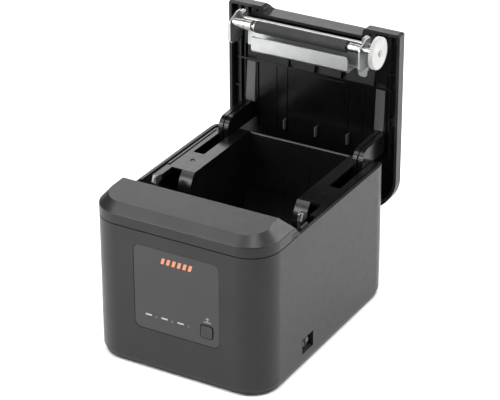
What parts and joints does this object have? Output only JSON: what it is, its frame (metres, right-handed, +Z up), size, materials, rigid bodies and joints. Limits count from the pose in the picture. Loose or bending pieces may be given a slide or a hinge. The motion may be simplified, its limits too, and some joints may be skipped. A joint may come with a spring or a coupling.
{
  "type": "receipt printer",
  "caption": "Compact desktop thermal receipt printer, its paper lid hinged open over the paper bay, with platen roller, cutter and feed gears.",
  "frame": {"origin": "centre of the bounding box's bottom face in the open pose, on the surface the feet stand on", "axes": "+Z up, -Y out of the front panel, +X to the right as seen from the front; the lid hinge runs along X"},
  "size_m": [0.141, 0.2136, 0.2055],
  "materials": {
    "casing": "fine moulded grain, dark grey",
    "panel": "smooth dark grey",
    "black_plastic": "semi-gloss black",
    "steel": "bright zinc-plated sheet and rod",
    "motor_metal": "satin grey",
    "rubber": "matt dark grey",
    "white_plastic": "white acetal",
    "light_guide": "pale translucent",
    "board": "green solder mask",
    "ceramic": "pale ceramic"
  },
  "bodies": {
    "housing": {"lower_housing": "casing", "base_plate": "casing", "front_left_foot": "rubber", "front_right_foot": "rubber", "rear_left_foot": "rubber", "rear_right_foot": "rubber", "front_left_base_screw": "steel", "front_right_base_screw": "steel", "rear_left_base_screw": "steel", "rear_right_base_screw": "steel", "front_cap": "casing", "tear_bar": "steel", "front_panel": "panel", "power_light": "light_guide", "paper_light": "light_guide", "error_light": "light_guide", "panel_board": "board", "inner_frame": "black_plastic", "mechanism_frame": "steel", "head_pivot_pin": "steel", "drive_motor": "motor_metal", "idler_pin": "steel", "cutter_frame": "steel", "cutter_motor": "motor_metal", "main_board": "board", "power_jack": "black_plastic", "usb_port": "black_plastic", "network_port": "black_plastic", "drawer_port": "black_plastic", "paper_sensor": "black_plastic", "power_switch_body": "black_plastic", "left_hinge_pin": "steel", "right_hinge_pin": "steel", "left_head_spring": "steel", "right_head_spring": "steel"},
    "lid": {"lid_shell": "casing", "lid_liner": "black_plastic", "left_hinge_arm": "black_plastic", "right_hinge_arm": "black_plastic", "platen_bracket": "steel", "guide_rod": "steel", "left_platen_bush": "steel", "right_platen_bush": "steel"},
    "platen": {"platen_shaft": "steel", "platen_roller": "rubber", "platen_gear": "white_plastic", "shaft_clip": "steel"},
    "idler": {"idler_gear": "white_plastic"},
    "pinion": {"motor_pinion": "white_plastic"},
    "feed_key": {"feed_button": "panel"},
    "power_key": {"power_rocker": "black_plastic"},
    "head": {"print_head": "ceramic", "heat_sink": "motor_metal"},
    "blade": {"moving_blade": "steel"},
    "cutter_wheel": {"cutter_pinion": "white_plastic"},
    "latch": {"latch_shaft": "steel", "left_latch_hook": "steel", "right_latch_hook": "steel"}
  },
  "joints": [
    {"name": "lid_hinge", "type": "hinge", "parent": "housing", "child": "lid", "pos_m": [0, 0.06155, 0.0817], "axis": [1, 0, 0], "range_deg": [0, 90]},
    {"name": "platen_spin", "type": "hinge", "parent": "lid", "child": "platen", "pos_m": [0, 0.06875, 0.1936], "axis": [1, 0, 0], "continuous": true},
    {"name": "idler_spin", "type": "hinge", "parent": "housing", "child": "idler", "pos_m": [0, -0.05545, 0.06885], "axis": [1, 0, 0], "continuous": true},
    {"name": "pinion_spin", "type": "hinge", "parent": "housing", "child": "pinion", "pos_m": [0, -0.05935, 0.0574], "axis": [1, 0, 0], "continuous": true},
    {"name": "feed_button_press", "type": "slide", "parent": "housing", "child": "feed_key", "axis": [0, 1, 0], "range_m": [0, 0.0008], "stiffness_N_per_m": 400, "springref_m": -0.0008},
    {"name": "power_rocker_tilt", "type": "hinge", "parent": "housing", "child": "power_key", "pos_m": [0.0666, -0.04485, 0.01735], "axis": [0, 0, 1], "range_deg": [-14, 0]},
    {"name": "print_head_pivot", "type": "hinge", "parent": "housing", "child": "head", "pos_m": [0, -0.06075, 0.0715], "axis": [1, 0, 0], "range_deg": [0, 2], "stiffness_Nm_per_rad": 5, "springref_deg": -3.44},
    {"name": "cutter_blade_slide", "type": "slide", "parent": "housing", "child": "blade", "axis": [0, 1, 0], "range_m": [0, 0.0055]},
    {"name": "cutter_pinion_spin", "type": "hinge", "parent": "housing", "child": "cutter_wheel", "pos_m": [-0.04055, -0.08505, 0.1015], "axis": [0, 0, 1], "range_deg": [0, 50]},
    {"name": "latch_pivot", "type": "hinge", "parent": "housing", "child": "latch", "pos_m": [0, -0.03615, 0.0715], "axis": [1, 0, 0], "range_deg": [0, 8], "stiffness_Nm_per_rad": 0.4, "springref_deg": -8.59}
  ],
  "couplings": [
    {"joint": "idler_spin", "follows": "platen_spin", "ratio": -1.2778},
    {"joint": "pinion_spin", "follows": "platen_spin", "ratio": 3.8333},
    {"joint": "cutter_pinion_spin", "follows": "cutter_blade_slide", "rad_per_m": 156.25}
  ]
}
